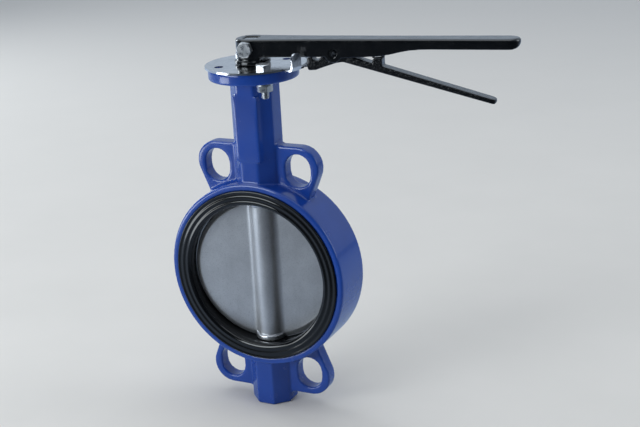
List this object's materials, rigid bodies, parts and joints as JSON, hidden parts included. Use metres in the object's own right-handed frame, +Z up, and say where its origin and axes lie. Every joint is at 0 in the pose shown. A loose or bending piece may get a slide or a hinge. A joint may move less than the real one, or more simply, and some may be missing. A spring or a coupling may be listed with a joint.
{
  "type": "butterfly valve",
  "caption": "Wafer butterfly valve with a slotted-lug body, soft seat, disc on a vertical stem, notch plate and latching hand lever.",
  "frame": {"origin": "where the stem axis crosses the pipe axis, in the middle of the ring", "axes": "+Z up the stem, Y along the pipe with -Y the front face, +X the side the lever points to when closed"},
  "size_m": [0.3565, 0.1075, 0.3878],
  "materials": {
    "blue_paint": "gloss",
    "seat_rubber": "gloss",
    "bearing_plastic": "satin",
    "ring_rubber": "satin",
    "washer_steel": "satin",
    "plug_steel": "satin",
    "plate_steel": "polished",
    "zinc_steel": "polished",
    "disc_metal": "blasted",
    "stem_steel": "satin",
    "black_paint": "gloss",
    "pin_steel": "satin",
    "black_cast": "gloss, as cast",
    "spring_steel": "satin"
  },
  "bodies": {
    "body": {"valve_body": "blue_paint", "seat_liner": "seat_rubber", "upper_bushing": "bearing_plastic", "middle_bushing": "bearing_plastic", "lower_bushing": "bearing_plastic", "stem_o_rings": "ring_rubber", "thrust_washer": "washer_steel", "bottom_plug": "plug_steel", "plug_o_ring": "ring_rubber", "notch_plate": "plate_steel", "plate_bolts": "zinc_steel", "plate_washers": "zinc_steel", "plate_nuts": "zinc_steel"},
    "rotor": {"disc": "disc_metal", "upper_stem": "stem_steel", "lower_stem": "stem_steel", "retaining_ring": "washer_steel", "lever_handle": "black_paint", "lever_set_bolt": "zinc_steel", "trigger_pin": "pin_steel", "trigger_spring": "spring_steel"},
    "trigger": {"trigger_latch": "black_cast"}
  },
  "joints": [
    {"name": "lever_turn", "type": "hinge", "parent": "body", "child": "rotor", "pos_m": [0, 0, 0], "axis": [0, 0, 1], "range_deg": [-10, 80]},
    {"name": "trigger_squeeze", "type": "hinge", "parent": "rotor", "child": "trigger", "pos_m": [0.08322, 0.01467, 0.2275], "axis": [0.1736, -0.9848, 0], "range_deg": [0, 12], "stiffness_Nm_per_rad": 1.5, "springref_deg": -17.19, "deforming": ["trigger_spring"]}
  ]
}
